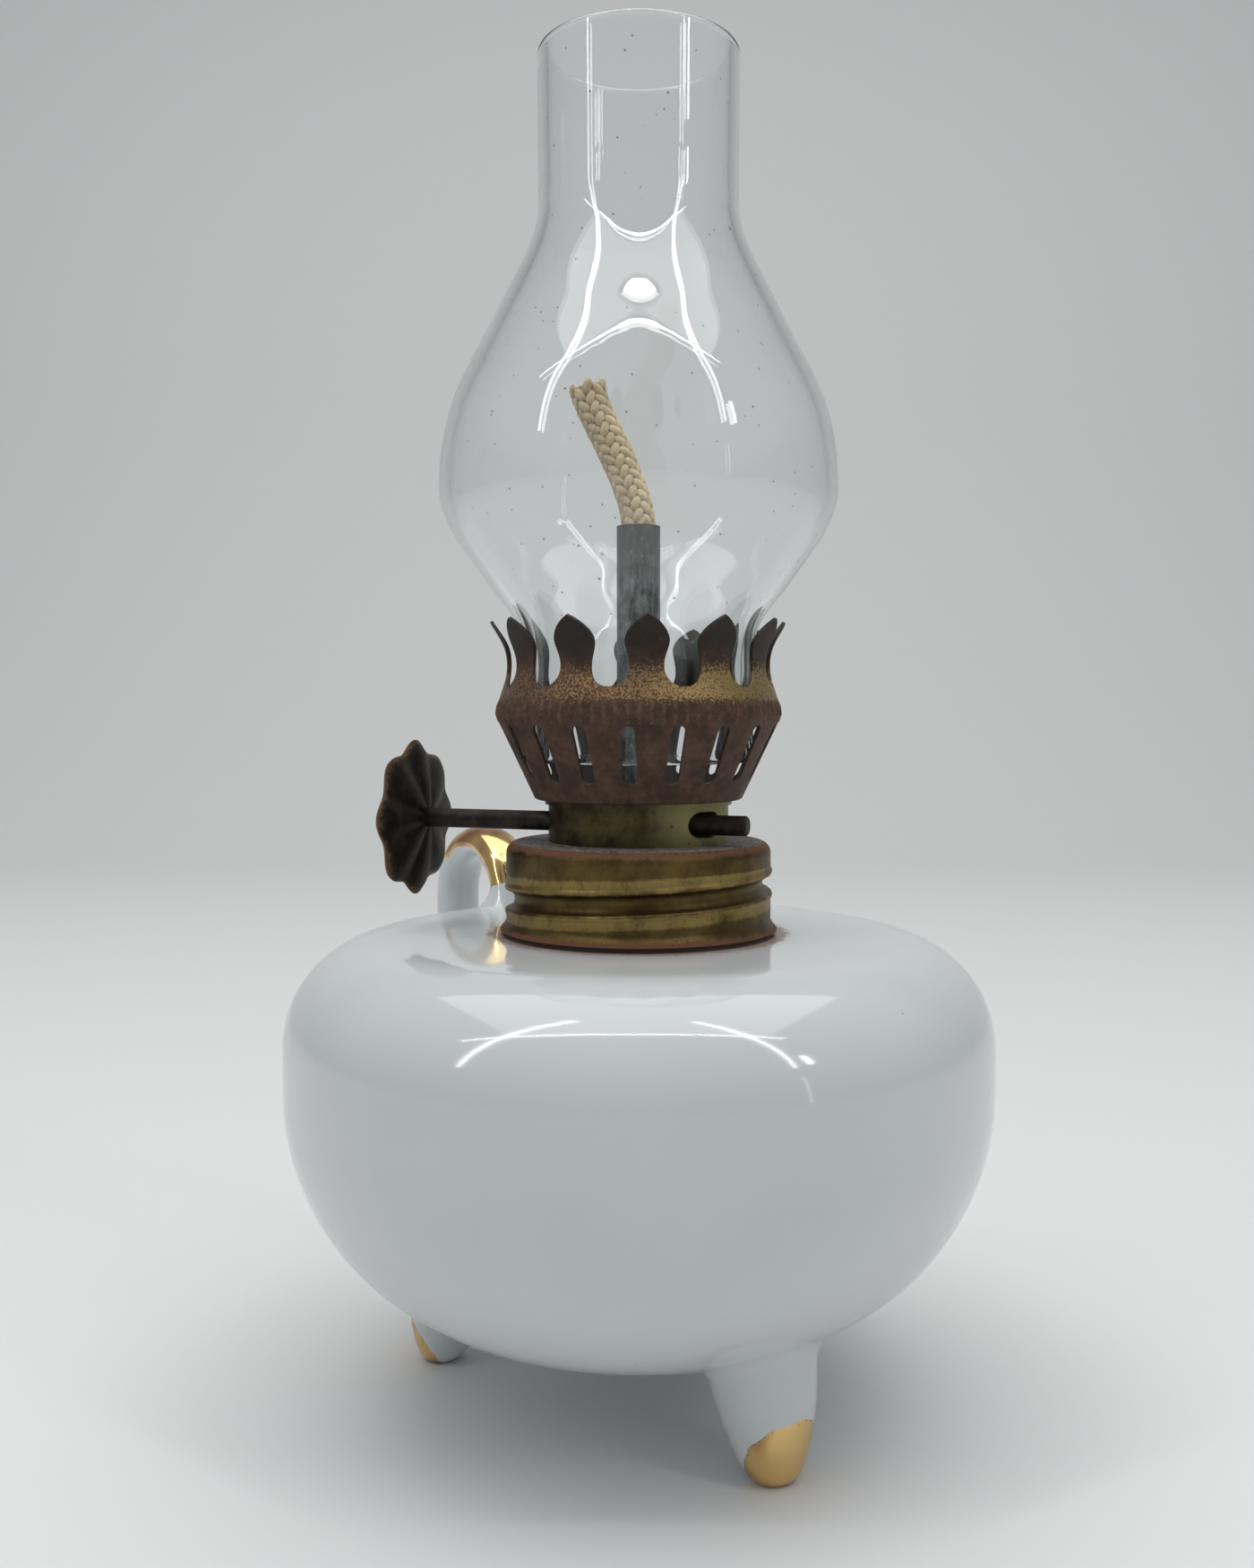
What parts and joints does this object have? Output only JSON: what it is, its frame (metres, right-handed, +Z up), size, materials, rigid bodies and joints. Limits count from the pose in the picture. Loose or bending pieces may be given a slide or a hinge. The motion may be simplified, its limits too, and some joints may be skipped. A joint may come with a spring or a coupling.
{
  "type": "oil lamp",
  "caption": "Miniature oil lamp: porcelain font on feet with a loop handle, screw-on pierced brass burner with wick raiser, and a glass chimney.",
  "frame": {"origin": "on the lamp's axis, at the level of the surface that the three feet stand on", "axes": "+Z up along the lamp's axis; -Y to the front foot, +Y to the handle"},
  "size_m": [0.0738, 0.081, 0.14],
  "materials": {
    "porcelain": "glossy",
    "brass": "aged",
    "wire": "dark patina",
    "zinc_steel": "mottled",
    "cork": "cork",
    "cotton": "braided",
    "glass": "clear"
  },
  "bodies": {
    "font": {"font_body": "porcelain", "font_neck": "porcelain", "foot_front": "porcelain", "foot_right": "porcelain", "foot_left": "porcelain", "handle": "porcelain"},
    "washer": {"cap_washer": "cork"},
    "burner": {"screw_cap": "brass", "burner_cup": "brass", "air_plate": "brass", "gallery": "brass", "wick_tube": "zinc_steel", "wheel_bracket": "brass"},
    "raiser": {"raiser_shaft": "wire", "raiser_wheel": "wire", "shaft_collars": "wire", "knob": "wire", "knob_rivet": "wire"},
    "wick_cord": {"wick": "cotton", "wick_top": "cotton"},
    "chimney": {"chimney": "glass"}
  },
  "joints": [
    {"name": "burner_rise", "type": "slide", "parent": "font", "child": "washer", "axis": [0, 0, 1], "range_m": [0, 0.0054]},
    {"name": "burner_turn", "type": "hinge", "parent": "washer", "child": "burner", "pos_m": [0, 0, 0.0535], "axis": [0, 0, 1], "range_deg": [0, 540]},
    {"name": "knob_turn", "type": "hinge", "parent": "burner", "child": "raiser", "pos_m": [-0.00299, -0.00226, 0.061], "axis": [-0.6018, 0.7986, 0], "range_deg": [-115, 229.5]},
    {"name": "wick_raise", "type": "slide", "parent": "burner", "child": "wick_cord", "axis": [0, 0, 1], "range_m": [-0.0076, 0.0038], "deforming": ["wick_top"]},
    {"name": "chimney_lift", "type": "slide", "parent": "burner", "child": "chimney", "axis": [0, 0, 1], "range_m": [0, 0.05]}
  ],
  "couplings": [
    {"joint": "burner_turn", "follows": "burner_rise", "rad_per_m": 1745.3},
    {"joint": "knob_turn", "follows": "wick_raise", "rad_per_m": -526.32}
  ]
}
